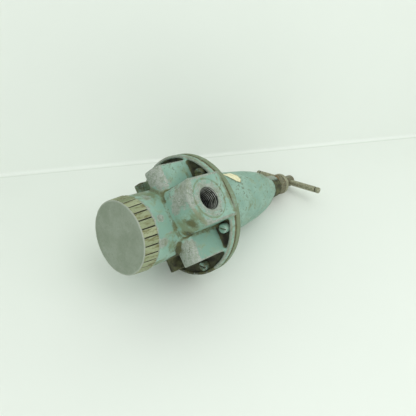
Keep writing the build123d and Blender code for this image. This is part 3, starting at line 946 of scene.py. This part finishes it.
def makeLabel():
    outline = [Vector(p) for p in label["outline"]]
    middle = sum(outline, Vector((0, 0))) / len(outline)
    edge = []
    for k in range(label["around"]):
        t = k / label["around"] * len(outline)
        a, b = outline[int(t) % len(outline)], outline[(int(t) + 1) % len(outline)]
        p = a.lerp(b, t - int(t))
        rag = 1 + 0.05 * noise.noise(Vector((p.x, p.y, 0)) * 0.9)
        rag += 0.03 * noise.noise(Vector((p.x, p.y, 4)) * 3)
        edge.append(middle + (p - middle) * (0.94 * rag))
    shape = bmesh.new()

    def onTaper(p, lift):
        (lowZ, lowRadius), (highZ, highRadius) = label["taper"]
        radius = lowRadius - (p.y - lowZ) * (lowRadius - highRadius) / (highZ - lowZ) + 0.08 + lift
        angle = math.radians(label["turn"]) + p.x / radius
        return (radius * math.cos(angle) * mm, radius * math.sin(angle) * mm, p.y * mm)
    centre = shape.verts.new(onTaper(middle, 0))
    rings = []
    for j in range(1, label["rings"] + 1):
        share = j / label["rings"]
        line = []
        for k, p in enumerate(edge):
            flap = 0.5 + 0.5 * noise.noise(Vector((math.cos(k / 15.3), math.sin(k / 15.3), 2)) * 2.2)
            line.append(shape.verts.new(onTaper(middle.lerp(p, share), label["curl"] * flap * share ** 5)))
        rings.append(line)
    for k in range(label["around"]):
        k2 = (k + 1) % label["around"]
        shape.faces.new((centre, rings[0][k], rings[0][k2]))
        for low, high in zip(rings, rings[1:]):
            shape.faces.new((low[k], high[k], high[k2], low[k2]))
    mesh = bpy.data.meshes.new("labelScrap")
    shape.to_mesh(mesh)
    shape.free()
    obj = linked(mesh, "labelScrap")
    away = np.zeros(len(mesh.vertices))
    away[1:] = np.repeat(np.arange(1, label["rings"] + 1) / label["rings"], label["around"])
    store(mesh, "rimStain", smooth01(away, 0.7, 1.0))
    thick = obj.modifiers.new("paper", "SOLIDIFY")
    thick.thickness = label["thickness"] * mm
    thick.offset = 1.0
    bake(obj)
    obj.data.shade_smooth()
    return dress(obj, finish["label"], "housing", "label_paper", "label_scrap")


makeLabel()
print("label scrap made")


# springs and the diaphragm's rubber convolution ring, built in place between the parts they join
springs = {
    "rangeSpring": {"node": "range_spring", "moving": "button", "radius": 14.0, "wire": 2.1,
                    "low": 89.5, "high": 194.9, "turns": 9.0},
    "valveSpring": {"node": "valve_spring", "moving": "valve", "radius": 11.0, "wire": 0.8,
                    "low": 24.1, "high": 46.8, "turns": 5.5},
}
convolution = {"outline": [(30.7, 85.7), (30.7, 86.8), (33.0, 86.8), (43.4, 88.3), (45.8, 88.3), (45.8, 87.1),
                           (43.6, 87.1), (33.2, 85.7), (30.7, 85.7)], "fixed": 88.3, "moving": 85.7}


def makeSprings():
    tree = helixTree()
    for name, spring in springs.items():
        obj = linked(bpy.data.meshes.new(name), name)
        low, high = spring["low"] + spring["wire"], spring["high"] - spring["wire"]
        runTree(obj, tree, {"Radius": spring["radius"] * mm, "End Radius": spring["radius"] * mm,
                            "Length": (high - low) * mm, "Turns": spring["turns"],
                            "Ridge": spring["wire"] * 0.98 * mm, "Finish": finish["spring"]})
        obj.data.transform(Matrix.Translation((0, 0, low * mm)))
        obj.data.shade_smooth()
        obj.data.materials.clear()
        obj.data.materials.append(finish["spring"])
        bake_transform(obj)
        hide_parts(spring["node"])
    ring = lathe("diaphragmRing", convolution["outline"], 128)
    merged = bmesh.new()
    merged.from_mesh(ring.data)
    bmesh.ops.remove_doubles(merged, verts=merged.verts, dist=1e-6)
    bmesh.ops.recalc_face_normals(merged, faces=merged.faces)
    merged.to_mesh(ring.data)
    merged.free()
    ring.data.materials.append(finish["rubber"])
    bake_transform(ring)
    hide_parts("diaphragm_convolution")


makeSprings()
print("springs made")


# finishes on the CAD nodes that stay as they are
kept = {
    "rubber": ["plug_oring", "poppet_oring", "stem_oring", "poppet_seal", "diaphragm_rim", "diaphragm_center"],
    "brass": ["valve_seat", "valve_poppet", "valve_stem", "relief_seat", "relief_nut", "aspirator_tube"],
    "spring": ["thrust_ball"],
    "plate": ["lower_plate", "upper_plate", "spring_button"],
}
for finishName, names in kept.items():
    for nodeName in names:
        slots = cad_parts[nodeName].data.materials
        slots.clear()
        slots.append(finish[finishName])


# camera, sweep and lights
view = {"place": (0.32619065, 0.0411557, -0.22459145), "right": (0.63795018, 0.40406904, 0.65555151),
        "down": (-0.34850894, 0.91060475, -0.22212724),
        "ahead": (-0.68670305, -0.08675945, 0.72174214), "lens": 38.94}
right, down, ahead = (Vector(view[k]).normalized() for k in ("right", "down", "ahead"))
place = Vector(view["place"])
camera = bpy.data.objects.new("viewCamera", bpy.data.cameras.new("viewCamera"))
scene.collection.objects.link(camera)
camera.data.lens = view["lens"]
camera.data.sensor_width = 36.0
camera.data.clip_start = 0.01
camera.data.clip_end = 20
turn = Matrix((right, -down, -ahead)).transposed()
camera.matrix_world = Matrix.Translation(place) @ turn.to_4x4()
scene.camera = camera

# seam ends are (across, up) from the middle of the frame, as shares of its width
sweep = {"roll": 2.0, "tilt": 40.0, "seamLeft": (-0.5, 0.0785), "seamRight": (0.5, 0.1745),
         "bend": 0.004, "reach": 1.6}


def sweepMaterial():
    material, tree, shader = newMaterial("paleSweep")
    spread = mottle(tree, objectPoint(tree), 160, 2.0)
    colour = mixTone(tree, spread, (0.775, 0.822, 0.768, 1), (0.80, 0.842, 0.792, 1))
    # painted shade: a darker line along the floor where it bends up into the wall
    colour = mixTone(tree, field(tree, "bendShade"), colour, (0.56, 0.62, 0.54, 1))
    tree.links.new(colour, shader.inputs["Base Color"])
    shader.inputs["Roughness"].default_value = 0.6
    shader.inputs["Specular IOR Level"].default_value = 0.25
    clear = tree.nodes.new("ShaderNodeBsdfTransparent")
    side = tree.nodes.new("ShaderNodeNewGeometry")
    choose = tree.nodes.new("ShaderNodeMixShader")
    tree.links.new(side.outputs["Backfacing"], choose.inputs[0])
    tree.links.new(shader.outputs[0], choose.inputs[1])
    tree.links.new(clear.outputs[0], choose.inputs[2])
    tree.links.new(choose.outputs[0], tree.nodes["Material Output"].inputs[0])
    return material


def makeSweep():
    roll, tilt = math.radians(sweep["roll"]), math.radians(sweep["tilt"])
    up = math.cos(tilt) * (-down * math.cos(roll) + right * math.sin(roll)) - math.sin(tilt) * ahead
    level = min(min(up.dot(Vector(p)) for p in verts(o.data)[::7]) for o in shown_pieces()) - 0.0002

    def onFloor(across, high):
        ray = ahead + right * (across * 36 / view["lens"]) - down * (high * 36 / view["lens"])
        return place + ray * ((level - up.dot(place)) / up.dot(ray))
    leftEnd, rightEnd = onFloor(*sweep["seamLeft"]), onFloor(*sweep["seamRight"])
    along = (rightEnd - leftEnd).normalized()
    back = up.cross(along).normalized()
    if back.dot(ahead) < 0:
        back = -back
    start = (leftEnd + rightEnd) / 2
    reach, bend = sweep["reach"], sweep["bend"]
    line = [(-reach * 1.4, 0.0), (-0.5, 0.0), (-bend - 0.003, 0.0), (-bend - 0.001, 0.0), (-bend, 0.0)]
    line += [(-bend + bend * math.sin(t), bend - bend * math.cos(t)) for t in np.linspace(0.1, math.pi / 2, 9)]
    line += [(0.0, 0.4), (0.0, reach)]
    mesh = bpy.data.meshes.new("paleSweep")
    points = [start + along * (s * reach) + back * d + up * h for d, h in line for s in (-1, 1)]
    faces = [(2 * i, 2 * i + 2, 2 * i + 3, 2 * i + 1) for i in range(len(line) - 1)]
    mesh.from_pydata(points, [], faces)
    mesh.update()
    if mesh.polygons[0].normal.dot(up) < 0:
        mesh.flip_normals()
    # a darker line painted as shade just before the bend
    bendShade = np.zeros(len(points))
    bendShade[6:8] = (0.05, 0.9)
    store(mesh, "bendShade", bendShade)
    mesh.shade_smooth()
    mesh.materials.append(sweepMaterial())
    obj = linked(mesh, "paleSweep")
    obj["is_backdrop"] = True
    return up, back, along


floorUp, floorBack, floorAlong = makeSweep()
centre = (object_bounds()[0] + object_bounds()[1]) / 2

world = bpy.data.worlds.new("softRoom")
world.use_nodes = True
background = world.node_tree.nodes["Background"]
background.inputs["Color"].default_value = (0.975, 1.0, 0.975, 1)
background.inputs["Strength"].default_value = 0.72
scene.world = world

# each lamp stands at (up, back, along) metres from the middle of the regulator
lights = {
    "key": {"from": (1.0, -0.6, 0.45), "size": 0.9, "power": 5.0},
    "window": {"from": (0.6, -1.1, -0.5), "size": 0.8, "power": 3.4},
}
for name, spec in lights.items():
    lamp = bpy.data.objects.new(name, bpy.data.lights.new(name, "AREA"))
    scene.collection.objects.link(lamp)
    lamp.data.size = spec["size"]
    lamp.data.energy = spec["power"]
    high, backward, sideways = spec["from"]
    offset = floorUp * high + floorBack * backward + floorAlong * sideways
    lamp.location = centre + offset
    lamp.rotation_mode = "QUATERNION"
    lamp.rotation_quaternion = (-offset).to_track_quat("-Z", "Y")
print("camera, sweep and lights set")
